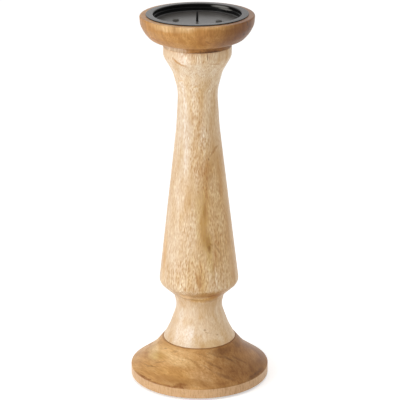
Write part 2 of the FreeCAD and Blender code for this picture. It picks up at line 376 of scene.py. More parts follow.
def markColour(finish, place, grain, look, colour):       # heartwood with painted shade, then tints with painted light, streaks and zones
    # heartwood tint, which also paints shade on the side away from the lamps
    toward, low, high, tint = look["heartwoodAndShade"]
    wandering = finish.stray(place, *woodDetail["heartStray"])
    depth = finish.vector("DOT_PRODUCT", wandering, toward, output="Value")
    colour = finish.tinted(colour, tint, finish.rise(depth, low, high))

    fine = (grain["fibres"] - noiseMiddle) + (grain["flecks"] - noiseMiddle)
    ragged = finish.stray(place, *woodDetail["patchStray"])
    grainy = 1 + fine * look["patchGrain"]
    # tints, some of them painted highlights and painted shade
    for patch in look["tintsAndPaintedLight"]:
        colour = finish.tinted(colour, patch[5], streakMask(finish, ragged, patch) * grainy)

    ragged = finish.stray(ragged, *woodDetail["streakStray"])
    grainy = 1 + fine * woodDetail["streakGrain"]
    plain = look["ramp"][2][1]
    for streak in look["streaks"]:
        tint = [own / usual for own, usual in zip(streak[5][:3], plain[:3])]
        colour = finish.tinted(colour, tint, streakMask(finish, ragged, streak) * grainy)
    for zone in look["zones"]:
        colour = finish.blend(zoneMask(finish, place, zone), colour, zone["colour"])
    return colour


def turnedWood(name, look):
    material, finish, shader = surface(name, look["shader"])
    place = finish.place()
    grain = readGrain(finish, place, look)
    crowd = crowdOf(finish, place, grain["figure"], look)
    pores = poreMask(finish, grain["bent"], crowd, look)
    colour, tone = grainColour(finish, grain, crowd, look)
    colour = markColour(finish, place, grain, look, colour)
    colour = finish.tinted(colour, look["poreTint"], pores)

    rough = finish.noise(place, woodDetail["roughSize"], 3.0, 0.7)
    height = (grain["fibres"] * woodDetail["fibreHeight"] + grain["flecks"] * woodDetail["fleckHeight"]
              - pores * woodDetail["poreSink"] + rough * woodDetail["roughHeight"])
    roughness = (look["roughness"] + (rough - noiseMiddle) * woodDetail["roughSpread"]
                 + pores * woodDetail["poreRough"] - (tone - noiseMiddle) * woodDetail["paleGloss"])
    connect(finish, shader, {"Base Color": colour, "Roughness": roughness,
                             "Normal": finish.bump(look["bump"], woodDetail["bumpDistance"], height)})
    return material


# Streaks are (middle, along, half length, half width, strength, colour), and a bow where one bends. A
# patch has a tint in place of the colour, which multiplies the wood's own; some tints are the wood's
# own colour, and others are painted highlights and painted shade, as marked. A crowd has neither, and
# one under 0 calms the grain. Heartwood is a direction, where along it the tint starts and is full, and
# the tint; it points away from the lamps, so it also paints shade on that side.

paleLook = {
    "shader": {"IOR": 1.45, "Specular IOR Level": 0.5},
    "heart": (-6, -34, 0),                        # moves the log so that its heart lies behind the axis
    "lean": (math.radians(1.2), math.radians(-0.8), 0),
    "wander": 14, "wanderSize": (38, 38, 110), "ringWidth": 10,
    "wave": 2.0, "waveSize": (14, 14, 30),
    "figureSize": (6, 6, 46), "mottleSize": (1.5, 1.5, 12), "fibreSize": (0.8, 0.8, 10),
    "fleckSize": (0.85, 0.85, 3.6),
    "poreSize": (1.6, 1.6, 5.6), "poreCrowd": (0.4, 0.62), "poreSpread": 0.3, "leastCrowd": -0.24,
    "poreDepth": 0.8, "pinSize": (0.6, 0.6, 3), "pinDepth": 0.3, "poreTint": (0.83, 0.70, 0.53),
    "grainWeights": (0.7, 1.2, 1.7), "patchGrain": 0.7,
    "bandTone": 0.3, "figureTone": 0.6, "fibreTone": 1.0, "mottleTone": 0.25, "fleckTone": 1.4, "calm": 0.42,
    "ramp": [(0.1, shade(188, 139, 80)), (0.34, shade(216, 176, 126)), (0.54, shade(232, 202, 165)),
             (0.76, shade(240, 216, 187)), (0.94, shade(245, 225, 200))],
    "roughness": 0.38, "bump": 0.3,
    # heartwood tint, which also paints shade on the side away from the lamps
    "heartwoodAndShade": ((0.9, 0.1, 0), -16, 18, (0.97, 0.93, 0.84)),
    "tintsAndPaintedLight": [
        ((24, -18, 148), (0.12, 0, -1), 92, 24, 0.9, (0.91, 0.82, 0.64)),
        ((4.0, -26, 152), (-0.01, -0.12, -0.99), 44, 9, 0.8, (0.84, 0.74, 0.48)),
        ((8.4, -28.5, 128), (0.1, -0.1, -0.99), 17, 5.5, 0.85, (0.80, 0.70, 0.42)),
        ((9.3, -29.6, 113), (0.1, -0.12, -0.99), 12, 4.5, 0.6, (0.92, 0.86, 0.56)),
        ((8.5, -20, 192), (-0.2, -0.14, -0.98), 14, 6, 0.6, (0.86, 0.76, 0.52)),
        ((-29, -10, 112), (-0.08, -0.1, -0.99), 34, 7, 0.7, (1.0, 0.90, 0.70)),
        ((-14, -27, 150), (-0.05, -0.12, -0.99), 60, 8, 0.4, (1.0, 0.95, 0.86)),
        # painted shade of the shoulder over the collar, here and on the next line
        ((4, -29, 84.6), (1, 0, 0), 25, 6.2, 1.0, (0.72, 0.56, 0.34), (0, 7, -1)),
        ((14, -25, 80), (0.9, 0.4, 0), 9, 6.0, 0.8, (0.80, 0.64, 0.44)),
        ((6, -22, 77), (1, 0, 0), 20, 4.5, 0.9, (0.98, 0.89, 0.66), (0, 5, 0)),
        # painted light on the left of the collar
        ((-12, -25, 80), (0.9, -0.35, 0), 9, 5, 1.0, (1.22, 1.16, 1.02)),
        # painted light on the throat and head against the cup's shade, then on the waist and the flare's left
        ((4, -20, 268), (1, 0, 0), 50, 38, 1.0, (1.12, 1.19, 1.30)),
        ((2, -22, 56), (1, 0, 0), 46, 24, 1.0, (1.12, 1.20, 1.34)),
        ((-14, -25, 44), (0.7, -0.7, -0.4), 19, 15, 0.8, (1.13, 1.25, 1.48)),
        ((-14, -13, 61), (0.3, -0.3, 0.9), 9, 6, 0.9, (1.08, 1.20, 1.42)),
        ((8, -28, 38), (1, 0.1, 0), 22, 5.5, 0.8, (0.88, 0.80, 0.62), (0, 5, 0)),
        # painted highlight down the left of the shaft, here and on the next line
        ((-13, -13, 224), (0, 0.06, 1), 56, 9.5, 0.9, (1.08, 1.22, 1.50)),
        ((-15, -21, 153), (-0.05, -0.12, -0.99), 28, 7, 0.8, (1.07, 1.12, 1.20)),
        ((3, -21, 187), (0, -0.12, -0.99), 24, 8, 0.8, (0.92, 0.87, 0.82)),
        ((3.5, -31.5, 99), (0.05, -0.1, -1), 28, 6, 0.9, (0.90, 0.81, 0.62)),
        # painted highlights on the left, here and on the next line
        ((-13, -29, 96), (-0.1, -0.1, -1), 17, 10, 0.8, (1.09, 1.12, 1.14)),
        ((-9, -26.5, 288), (0.95, -0.3, 0), 13, 7, 0.8, (1.14, 1.20, 1.32), (0, 3, 0)),
        ((-4, -25, 168), (-0.02, -0.1, -0.99), 25, 7, 0.8, (0.94, 0.90, 0.80)),
        ((-4, -31, 108), (-0.02, -0.1, -0.99), 22, 8, 0.8, (0.95, 0.89, 0.76)),
        ((4, -25, 176), (0, -0.12, -0.99), 26, 8, 0.6, (0.92, 0.86, 0.78)),
        # painted shade under the right of the shoulder
        ((13, -21, 79), (0.9, 0.4, 0), 13, 7, 1.0, (0.88, 0.79, 0.62)),
        ((0, -23, 78), (1, 0, 0), 10, 6, 0.8, (1.0, 0.95, 0.76)),
        # painted highlights on the left, here and on the next line
        ((-7, -18, 222), (0, 0.06, 1), 20, 5, 0.8, (1.03, 1.09, 1.20)),
        ((-15.4, -19.3, 167), (0, -0.1, -0.99), 19, 5, 0.8, (1.04, 1.08, 1.17)),
        ((9.7, -20.7, 184), (0, -0.12, -0.99), 10, 5, 0.8, (0.91, 0.88, 0.87)),
        ((1, -31, 110), (0, -0.12, -0.99), 27, 6, 0.7, (0.96, 0.93, 0.88)),
        # painted shade under the right of the shoulder, here and on the next line
        ((17, -21, 80.5), (0.75, 0.5, 0.3), 11, 7, 1.0, (0.86, 0.77, 0.60)),
        ((13, -16, 72), (0.85, 0.5, 0), 13, 6, 0.9, (0.91, 0.85, 0.74)),
        ((4, -18, 219), (0, 0.06, 1), 12, 9, 0.8, (1.04, 1.10, 1.24)),
        ((0, -29.5, 128), (0, -0.1, -0.99), 9, 4.5, 0.8, (0.93, 0.86, 0.76)),
        # painted highlights on the left, here and on the next line
        ((-17, -26, 107), (0, -0.1, -0.99), 9, 5, 0.8, (1.08, 1.12, 1.24)),
        ((-8, -15, 251), (0, 0, 1), 11, 5, 0.8, (1.06, 1.14, 1.28)),
    ],
    "streaks": [
        ((-15.9, -22.7, 284.9), (0.83, -0.33, -0.46), 11.2, 1.6, 0.85, shade(196, 138, 70), (1.1, 1.1, 1.2)),
        ((8.2, -27.5, 289.8), (-0.15, -0.01, -0.99), 3.6, 0.8, 0.8, shade(140, 92, 52)),
        ((14.2, -23.1, 283.8), (0.80, 0.59, -0.13), 9.3, 0.9, 0.6, shade(186, 136, 84), (0.2, 0.2, 2.0)),
        ((-14.5, -12.8, 267.5), (0.39, -0.87, 0.30), 7.9, 1.0, 0.6, shade(218, 170, 104), (3.2, -0.5, -5.4)),
        ((-1.4, -18.1, 264.1), (0.99, -0.10, 0.02), 6.0, 1.4, 0.6, shade(210, 162, 96), (0.6, 3.2, -12.8)),
        ((-0.6, -16.2, 256.8), (-0.01, 0.16, -0.99), 5.4, 2.4, 0.5, shade(214, 170, 108)),
        ((13.2, -15.0, 208.0), (-0.54, -0.61, -0.58), 9.5, 1.4, 0.6, shade(190, 142, 84), (0.3, 1.4, -1.8)),
        ((7.3, -20.3, 194.1), (-0.10, -0.16, -0.98), 10.1, 3.2, 0.5, shade(208, 160, 104)),
        ((8.6, -18.9, 201.4), (-0.01, -0.13, -0.99), 2.2, 0.9, 0.8, shade(150, 104, 60)),
        ((17.7, -16.3, 173.3), (0.17, 0.01, -0.99), 8.7, 1.5, 0.5, shade(196, 148, 96)),
        ((4.3, -26.6, 148), (0.0, -0.12, -0.99), 31, 3.4, 0.45, shade(206, 166, 98)),
        ((5.0, -25.4, 158.0), (-0.05, -0.13, -0.99), 9, 1.9, 0.5, shade(190, 146, 82)),
        ((8.2, -28.3, 129.5), (0.15, -0.1, -0.97), 9, 2.6, 0.6, shade(186, 142, 72)),
        ((9.2, -28.6, 124.6), (0.2, -0.12, -0.95), 4.6, 2.0, 0.7, shade(172, 126, 60)),
        ((16.2, -25.2, 123.1), (0.46, 0.18, -0.87), 8.7, 1.4, 0.45, shade(176, 132, 82)),
        ((10.3, -27.4, 128.9), (0.73, 0.19, -0.66), 3.2, 1.2, 0.5, shade(182, 134, 72)),
        ((0.5, -30.6, 118.0), (-0.66, -0.10, -0.74), 6.9, 1.4, 0.3, shade(186, 142, 88)),
        ((-28.7, -10.4, 118), (-0.08, -0.11, -0.99), 30.5, 3.2, 0.25, shade(238, 190, 130), (0.9, -2.0, 0.2)),
        ((0, -33.1, 96.5), (-0.01, -0.12, -0.99), 7.5, 2.6, 0.5, shade(192, 138, 70)),
        ((11.8, -30.0, 103.8), (0.08, -0.09, -0.99), 12, 2.2, 0.4, shade(188, 142, 78)),
        ((28.2, -10.1, 122.9), (0.12, -0.02, -0.99), 8.7, 1.3, 0.5, shade(186, 138, 84)),
        # painted shade under the shoulder, here and on the next line
        ((2.7, -21.8, 75.7), (0.97, 0.21, -0.09), 22, 2.2, 0.4, shade(190, 138, 74), (-1.7, 8.3, 1.3)),
        ((11.8, -25.8, 81.8), (0.88, 0.47, -0.03), 6.9, 1.7, 0.6, shade(204, 136, 66), (-0.5, 1.0, -0.5)),
        ((7.4, -24.2, 47.2), (0.94, 0.21, -0.28), 6.0, 0.8, 0.5, shade(188, 144, 98), (0.3, 1.5, 2.2)),
        ((5.0, -23.8, 49.6), (0.96, 0.11, -0.26), 1.6, 0.8, 0.7, shade(150, 104, 64)),
        ((15.3, -21.7, 44.3), (0.85, 0.48, -0.21), 1.8, 0.8, 0.6, shade(150, 104, 64)),
    ],
    "crowds": [
        ((-3.7, -28.5, 290.5), (1, 0, 0), 24, 6.0, 1.0),
        ((2.1, -17.8, 226.3), (0.19, -0.08, -0.98), 34, 8, 0.8),
        ((0.8, -21.8, 192.8), (0.23, -0.12, -0.97), 32, 8.0, 0.8),
        ((17, -22, 144.3), (0.12, -0.05, -0.99), 66, 13.0, 0.9),
        ((0.9, -32.3, 98), (1, 0, 0), 46, 26, 1.2),
        ((0, -18, 50), (1, 0, 0), 60, 30, -0.8),
        ((0, -16, 254), (1, 0, 0), 40, 15, 0.25),
        ((-6, -27, 142), (0, -0.1, -0.99), 28, 14, 0.4),
    ],
    "zones": [
        {"from": 34, "to": 36.0, "soft": 0.3, "strength": 0.3, "colour": shade(150, 102, 60)},
    ],
}

baseLook = {
    "shader": {"IOR": 1.45, "Specular IOR Level": 0.3},
    "heart": (20, -70, 0),
    "lean": (math.radians(90), math.radians(36), 0),
    "wander": 16, "wanderSize": (44, 44, 130), "ringWidth": 13,
    "wave": 2.5, "waveSize": (16, 16, 40),
    "figureSize": (7, 7, 46), "mottleSize": (1.9, 1.9, 26), "fibreSize": (1.0, 1.0, 26),
    "fleckSize": (0.9, 0.9, 5),
    "poreSize": (1.3, 1.3, 8), "poreCrowd": (0.4, 0.6), "poreSpread": 0.7, "leastCrowd": 0.0,
    "poreDepth": 0.45, "pinSize": (0.6, 0.6, 4), "pinDepth": 0.15, "poreTint": (0.58, 0.46, 0.34),
    "grainWeights": (1.0, 1.35, 2.1), "patchGrain": 0.5,
    "bandTone": 0.3, "figureTone": 0.75, "fibreTone": 0.5, "mottleTone": 0.5, "fleckTone": 0.45, "calm": 0.5,
    "ramp": [(0.12, shade(150, 98, 46)), (0.36, shade(186, 134, 74)), (0.54, shade(208, 158, 97)),
             (0.72, shade(219, 174, 116)), (0.9, shade(229, 190, 137))],
    "roughness": 0.4, "bump": 0.2,
    # heartwood tint, which also paints shade on the side away from the lamps
    "heartwoodAndShade": ((0.95, 0.05, 0), -14, 36, (0.56, 0.47, 0.36)),
    "tintsAndPaintedLight": [
        # painted highlights on the upper left of the base, here and on the next line
        ((-30, -20, 29), (0.7, -0.6, 0.1), 24, 12, 1.0, (1.14, 1.26, 1.46)),
        ((-40, -8, 24), (0.2, -0.9, -0.3), 24, 9, 1.0, (1.14, 1.34, 1.70)),
        ((-44, -28, 16), (0.66, -0.75, 0), 22, 10, 1.0, (0.88, 0.83, 0.72)),
        ((-13, -38, 25.5), (0.9, -0.4, 0), 20, 6.5, 0.9, (1.14, 1.27, 1.48)),
        ((-9, -54, 14), (0.97, -0.1, 0), 25, 5.5, 1.0, (0.80, 0.76, 0.68), (0, 2, 0)),
        ((-22, -44, 17), (0.85, -0.5, 0), 22, 9, 0.6, (0.96, 0.92, 0.72)),
        ((6, -45, 20), (0.9, 0.3, -0.3), 20, 7, 0.6, (1.06, 1.10, 1.22)),
        # painted highlight on the right shoulder
        ((44, -8, 24), (0.6, 0.8, -0.2), 22, 9, 0.8, (1.25, 1.32, 1.45)),
        ((49, -20, 14), (0.4, 0.9, -0.1), 24, 7, 0.9, (0.80, 0.74, 0.58)),
        ((30, -50, 6), (0.9, 0.4, 0), 30, 5, 0.6, (1.08, 1.04, 0.86)),
    ],
    "streaks": [
        ((18.4, -28.9, 32.0), (0.85, 0.51, -0.09), 12, 4.6, 0.55, shade(140, 92, 48), (-0.8, 1.5, 0.8)),
        ((32.0, -13.0, 32.1), (0.67, 0.54, -0.52), 6.0, 4.0, 0.4, shade(146, 98, 54)),
        ((27.6, -37.1, 20.2), (0.90, 0.08, -0.43), 24, 16, 0.2, shade(142, 96, 56), (0.5, 3.9, 1.7)),
        ((18.8, -32.5, 28.4), (0.92, 0.16, -0.35), 20.6, 1.3, 0.4, shade(132, 88, 48), (-0.6, 1.9, -0.6)),
        ((12.3, -40.0, 23.9), (0.89, -0.20, -0.41), 12, 1.4, 0.4, shade(132, 86, 46)),
        ((7.1, -42.9, 22.4), (0.86, -0.33, -0.39), 9.4, 0.9, 0.45, shade(140, 94, 52)),
        ((24.3, -30.9, 26.3), (0.82, -0.04, -0.57), 11, 1.5, 0.4, shade(126, 82, 44)),
        ((33.8, -25.9, 23.2), (0.85, 0.13, -0.52), 13, 1.5, 0.4, shade(126, 82, 44)),
        ((21.5, -46.6, 16.6), (0.92, -0.13, -0.36), 12, 2.6, 0.45, shade(128, 82, 44)),
        ((-6.4, -37.6, 27.6), (0.88, -0.39, -0.26), 9.2, 0.8, 0.45, shade(152, 104, 58)),
        ((3.8, -35.4, 30.8), (0.94, -0.16, -0.31), 12, 0.9, 0.4, shade(152, 104, 58), (0, 0.9, -0.4)),
        ((-35.7, -20.3, 24.5), (0.64, -0.74, 0.19), 13.2, 5.5, 0.55, shade(188, 140, 68), (0.5, 0.2, -0.7)),
        ((-42.6, -25.8, 17.6), (0.66, -0.73, 0.18), 12, 1.0, 0.5, shade(124, 84, 42), (1.8, 2.0, 1.4)),
        ((-33.9, -27.7, 22.1), (0.84, -0.47, 0.27), 9, 0.9, 0.4, shade(134, 92, 48), (-0.3, -1.0, -0.9)),
        ((-45.8, -37.7, 10.8), (0.62, -0.79, 0), 25.3, 2.1, 0.75, shade(140, 84, 36), (3.5, 2.7, 0.4)),
        ((-20.9, -55.2, 11.0), (0.94, -0.33, 0.01), 17.3, 1.9, 0.7, shade(140, 84, 36), (0.8, 2.2, 0.4)),
        ((-15.4, -54.7, 12.3), (0.96, -0.22, 0.03), 7.0, 2.4, 0.65, shade(150, 90, 34)),
        ((-28.6, -46.2, 14.4), (0.87, -0.49, 0.02), 14.7, 5.5, 0.55, shade(164, 110, 54), (0.7, 1.3, 0)),
        ((-13.3, -57.9, 6.4), (0.97, -0.22, 0.01), 3.4, 1.3, 0.5, shade(160, 108, 62)),
        ((48.3, -31.6, 12.0), (0.50, 0.87, 0.02), 19.6, 2.8, 0.6, shade(130, 84, 44), (-1.7, 1.0, -0.2)),
        ((0.3, -49.8, 17.7), (0.97, -0.19, -0.16), 14.2, 6.5, 0.35, shade(206, 160, 110), (0.2, 1.0, -0.2)),
        ((-21.0, -27.9, 31.7), (0.88, -0.38, 0.28), 4.0, 1.4, 0.4, shade(150, 104, 58)),
        ((-30.5, -18.9, 30.4), (0.62, -0.72, 0.30), 6.8, 0.8, 0.5, shade(146, 100, 56), (1.5, 2.4, 2.7)),
    ],
    "crowds": [
        ((28, -38, 18), (0.9, 0.1, -0.4), 36, 22, 0.9),
    ],
    "zones": [
        {"from": 0, "to": 10.4, "soft": 0.6, "beyond": 58.2, "strength": 0.75, "lines": 0.45,
         "colour": shade(236, 196, 152)},
        {"from": 34.9, "to": 36.5, "soft": 0.3, "strength": 0.35, "colour": shade(120, 74, 38)},
    ],
}

cupLook = {
    "shader": {"IOR": 1.45, "Specular IOR Level": 0.35},
    "heart": (14, -46, 0),
    "lean": (math.radians(3), math.radians(2), 0),
    "wander": 16, "wanderSize": (36, 36, 90), "ringWidth": 13,
    "wave": 2.5, "waveSize": (16, 16, 30),
    "figureSize": (6, 6, 30), "mottleSize": (2.6, 2.6, 12), "fibreSize": (0.9, 0.9, 14),
    "fleckSize": (0.85, 0.85, 5),
    "poreSize": (1.2, 1.2, 7), "poreCrowd": (0.4, 0.6), "poreSpread": 0.7, "leastCrowd": 0.0,
    "poreDepth": 0.4, "pinSize": (0.6, 0.6, 3), "pinDepth": 0.15, "poreTint": (0.60, 0.48, 0.34),
    "grainWeights": (1.3, 1.75, 2.8), "patchGrain": 0.3,
    "bandTone": 0.3, "figureTone": 0.6, "fibreTone": 0.45, "mottleTone": 0.3, "fleckTone": 0.35, "calm": 0.7,
    "ramp": [(0.12, shade(140, 84, 36)), (0.36, shade(177, 120, 58)), (0.54, shade(199, 143, 77)),
             (0.72, shade(211, 161, 96)), (0.9, shade(222, 178, 122))],
    "roughness": 0.4, "bump": 0.2,
    # heartwood tint, which also paints shade on the side away from the lamps
    "heartwoodAndShade": ((0.95, 0.1, 0), -4, 32, (0.42, 0.33, 0.24)),
    "tintsAndPaintedLight": [
        # painted highlight on the left of the lip
        ((-23, -41, 318.6), (0.87, -0.5, 0), 27, 4.6, 1.0, (1.30, 1.66, 2.7), (4.4, 7.8, 0)),
        ((-44, -14, 314), (0.2, -0.95, 0), 14, 9, 0.9, (0.82, 0.82, 0.92)),
        ((38, -26, 307), (0.5, 0.8, 0), 13, 8, 0.7, (0.80, 0.72, 0.58)),
        # painted highlight on the upper left side
        ((-34, -33, 311), (0.7, -0.7, 0), 14, 6, 0.6, (1.10, 1.22, 1.50), (-3, 3, 0)),
        # painted highlights along the front and right of the lip, here and on the next line
        ((2, -47, 319.6), (1, 0, 0), 24, 1.9, 0.6, (1.14, 1.30, 1.70), (0, 6, 0)),
        ((22, -41, 319.2), (0.88, 0.47, 0), 24, 3.0, 0.9, (1.40, 1.65, 2.15), (-3, 7, 0)),
        ((5, -45, 310), (0, 0.2, -1), 12, 6, 0.6, (0.86, 0.76, 0.68)),
        ((-35, -26, 303), (0.7, -0.7, 0), 12, 5, 0.7, (0.88, 0.76, 0.60)),
        ((-4, -44, 307), (1, 0, 0), 18, 6, 0.5, (1.05, 1.04, 0.88), (0, 5, 0)),
        ((4, -33, 300.8), (1, 0, 0), 30, 2.2, 0.6, (1.02, 1.10, 1.30), (0, 8, 0)),
    ],
    "streaks": [
        # painted light on the left of the foot, under the bowl
        ((-20, -20, 295.4), (0.73, -0.68, 0), 17, 3.8, 1.0, shade(246, 222, 190), (2.5, 2.5, 0)),
        # the dark joint below the foot, drawn on the right only, where it also paints shade
        ((10, -26.7, 294.1), (0.93, 0.36, 0), 19, 1.5, 0.8, shade(92, 55, 28), (-2.5, 6, 0)),
        ((42.5, -20.5, 313), (0, 0.1, 1), 9.0, 5.0, 0.4, shade(120, 76, 42)),
        ((39.5, -24.5, 308), (0.6, 0.3, -0.7), 7.0, 1.6, 0.6, shade(110, 68, 34)),
        # more of the dark joint on the right, which also paints shade, here and on the next line
        ((11.8, -25.9, 295.4), (0.90, 0.44, -0.06), 8.2, 1.8, 0.5, shade(104, 64, 32), (-0.4, 0.7, 0)),
        ((2.3, -28.4, 295.5), (1, 0.08, 0), 1.5, 1.0, 0.5, shade(96, 58, 30)),
        ((-36.0, -24.5, 306.0), (0.60, -0.79, -0.11), 8.4, 1.8, 0.5, shade(170, 110, 54), (0.7, 0.6, -0.6)),
        ((8.9, -43.0, 306.6), (0.84, 0.41, -0.36), 4.0, 1.2, 0.6, shade(150, 94, 44)),
        ((40.7, -25.0, 318.5), (0.48, 0.46, -0.75), 3.4, 1.8, 0.6, shade(120, 84, 60), (-0.4, 1.1, 0.4)),
        ((-28.4, -37.6, 313.4), (0.12, 0.26, -0.96), 7.2, 1.2, 0.4, shade(176, 120, 62)),
        ((10.5, -46.2, 314.8), (0.06, 0.09, -0.99), 7.1, 1.2, 0.4, shade(176, 120, 62)),
    ],
    "crowds": [],
    "zones": [
        # painted shade and reflection: the lip's flat top darker and greyer, as a grazing reflection makes it
        {"from": 319.8, "to": 323, "soft": 0.5, "strength": 0.4, "colour": shade(158, 130, 110)},
        # painted shade of the bowl on the foot ring, here and on the next line, darker again near the joint
        {"from": 293, "to": 299, "soft": 0.8, "beyond": 20, "strength": 0.15, "colour": shade(120, 76, 38)},
        {"from": 293, "to": 294.9, "soft": 0.3, "beyond": 20, "strength": 0.12, "colour": shade(84, 50, 26)},
    ],
}

# The dish's black coat. Candles have rubbed its floor up to rubbedTop, and the lighter grey there is
# partly that wear and partly a painted reflection of the bright room, lighter towards the back and
# fading near the wall. On the wall between wallFoot and wallTop it is thin. The painted reflections are
# light streaks round the back of the wall.
coatLook = {
    "shader": {"IOR": 1.5, "Specular IOR Level": 0.08, "Coat IOR": 1.5, "Coat Roughness": 0.24},
    "rubbedTop": 315.4, "wallFoot": 314.6, "wallTop": 320.3, "soft": 0.5,
    "corner": (32, 36), "cornerKeeps": 0.6,
    "rippleSize": (2.2, 2.2, 2.2), "speckSize": (0.25, 0.25, 0.25), "cloudSize": (9, 9, 9),
    "black": shade(8, 8, 8), "speckColour": shade(18, 17, 16), "speckEdge": (0.45, 0.8),
    "flangeColour": shade(38, 31, 25), "rubbedAndSheenColour": shade(82, 78, 74),
    # the rubbed grey also paints the floor's reflection, and its last share here makes it lighter towards the
    # back
    "rubbingAndSheen": 0.55, "cloudRubbing": 0.5, "paintedBackSheen": 0.006,
    "bump": 0.12, "bumpDistance": 0.0001, "speckHeight": 0.25,
    "roughness": 0.16, "rippleRough": 0.05, "speckRough": 0.06, "speckRoughEdge": (0.5, 0.8),
    "rubbedRough": 0.22, "cloudRough": 0.12,
    "coat": 0.7, "wallLoss": 0.6, "flangeLoss": 0.36, "rightLoss": 0.22, "rightEdge": (10, 40),
    # painted reflections of the lamps on the back wall
    "paintedReflections": [
        ((20, 30.4, 319.3), (0.84, -0.54, 0), 13, 1.2, 0.9, shade(146, 144, 139), (0, -1.5, 0)),
        ((24, 27.0, 317.9), (0.75, -0.66, 0), 11, 0.9, 0.7, shade(146, 144, 139), (0, -1.5, 0)),
    ],
}


def coatedSteel(name, look):
    material, finish, shader = surface(name, look["shader"])
    place = finish.place()
    soft = look["soft"]
    ripple = finish.noise(place, look["rippleSize"], 2.0, 0.5)
    speck = finish.noise(place, look["speckSize"], 2.0, 0.6)
    cloud = finish.noise(place, look["cloudSize"], 3.0, 0.6)
    x, y, z = finish.separate(place)
    corner = finish.rise(finish.offAxis(place), *look["corner"])
    overFloor = finish.rise(z, look["rubbedTop"] - soft, look["rubbedTop"])
    overFoot = finish.rise(z, look["wallFoot"], look["wallFoot"] + soft)
    overWall = finish.rise(z, look["wallTop"], look["wallTop"] + soft)
    worn = (1 - overFloor) * (1 - corner * look["cornerKeeps"])
    # rubbed wear and painted reflection together, lighter towards the back
    rubbingAndSheen = worn * (look["rubbingAndSheen"] + cloud * look["cloudRubbing"] + y * look["paintedBackSheen"])

    colour = finish.blend(finish.rise(speck, *look["speckEdge"]), look["black"], look["speckColour"])
    colour = finish.blend(overWall, colour, look["flangeColour"])
    colour = finish.blend(rubbingAndSheen, colour, look["rubbedAndSheenColour"])
    # painted reflections: light streaks in the base colour on the back wall
    for paintedReflection in look["paintedReflections"]:
        colour = finish.blend(streakMask(finish, place, paintedReflection), colour, paintedReflection[5])
    roughness = (look["roughness"] + ripple * look["rippleRough"]
                 + finish.rise(speck, *look["speckRoughEdge"]) * look["speckRough"]
                 + worn * (look["rubbedRough"] + cloud * look["cloudRough"]))
    coat = (look["coat"] - overFoot * (1 - overWall) * look["wallLoss"]
            - overWall * (look["flangeLoss"] + finish.rise(x, *look["rightEdge"]) * look["rightLoss"]))
    height = ripple + speck * look["speckHeight"]
    connect(finish, shader, {"Base Color": colour, "Roughness": roughness, "Coat Weight": coat,
                             "Normal": finish.bump(look["bump"], look["bumpDistance"], height)})
    return material


# Small hardware: a cloudy colour between two shades over a fine grit, which is cells on foam
oxideLook = {
    "shader": {"IOR": 1.5, "Specular IOR Level": 0.2}, "shades": (shade(12, 11, 10), shade(30, 28, 26)),
    "cloudSize": (1.5, 1.5, 1.5), "gritSize": (0.2, 0.2, 0.2), "bump": 0.2, "bumpDistance": 0.00005,
    "roughness": 0.42, "cloudRough": 0.2, "gritRough": 0.1,
}
rubbedLook = dict(oxideLook, shades=(shade(62, 60, 56), shade(86, 82, 77)))
zincLook = {
    "shader": {"Metallic": 1.0, "IOR": 1.5}, "shades": (shade(150, 150, 146), shade(196, 197, 195)),
    "cloudSize": (1.2, 1.2, 1.2), "gritSize": (0.2, 0.2, 0.8), "bump": 0.2, "bumpDistance": 0.00005,
    "roughness": 0.34, "cloudRough": 0.2, "gritRough": 0.0,
}
foamLook = {
    "shader": {"IOR": 1.4, "Specular IOR Level": 0.3}, "shades": (shade(46, 38, 31), shade(78, 66, 55)),
    "cloudSize": (2.5, 2.5, 2.5), "cellSize": (0.35, 0.35, 0.35), "bump": 0.4, "bumpDistance": 0.0001,
    "roughness": 0.75, "cloudRough": 0.2, "gritRough": 0.0,
}


def hardware(name, look):
    material, finish, shader = surface(name, look["shader"])
    place = finish.place()
    cloud = finish.noise(place, look["cloudSize"], 3.0, 0.6)
    if "cellSize" in look:
        grit = finish.cells(place, look["cellSize"])
    else:
        grit = finish.noise(place, look["gritSize"], 2.0, 0.6)
    dark, light = look["shades"]
    roughness = (look["roughness"] + cloud * look["cloudRough"]
                 + (grit - noiseMiddle) * look["gritRough"])
    connect(finish, shader, {"Base Color": finish.blend(cloud, dark, light), "Roughness": roughness,
                             "Normal": finish.bump(look["bump"], look["bumpDistance"], grit)})
    return material


paleWood = turnedWood("pale wood", paleLook)
baseWood = turnedWood("stained wood, base", baseLook)
cupWood = turnedWood("stained wood, cup", cupLook)
blackCoat = coatedSteel("black coat", coatLook)
oxide = hardware("black oxide", oxideLook)
rubbedOxide = hardware("rubbed black oxide", rubbedLook)
zinc = hardware("zinc plate", zincLook)
foam = hardware("foam rubber", foamLook)
print("materials ready")

baseLow, baseHigh = boxOf("base")
columnLow, columnHigh = boxOf("column")
cupLow, cupHigh = boxOf("cup")
dishHigh = boxOf("dish")[1]
spikeLow, spikeHigh = boxOf("spike")

baseSizes = {
    "bandHeight": 8.9, "floorRound": 0.8, "bandRound": 0.5,
    "coneRise": 12.9, "coveRadius": 41.3, "coveRound": 50.0,
    "topRadius": 31.8, "topRound": 0.6,
    "mortiseRadius": 12.1, "mortiseDepth": 14.5,
    "counterboreRadius": 9.5, "counterboreDepth": 7.0, "holeRadius": 2.6, "edgeEase": 0.4,
}


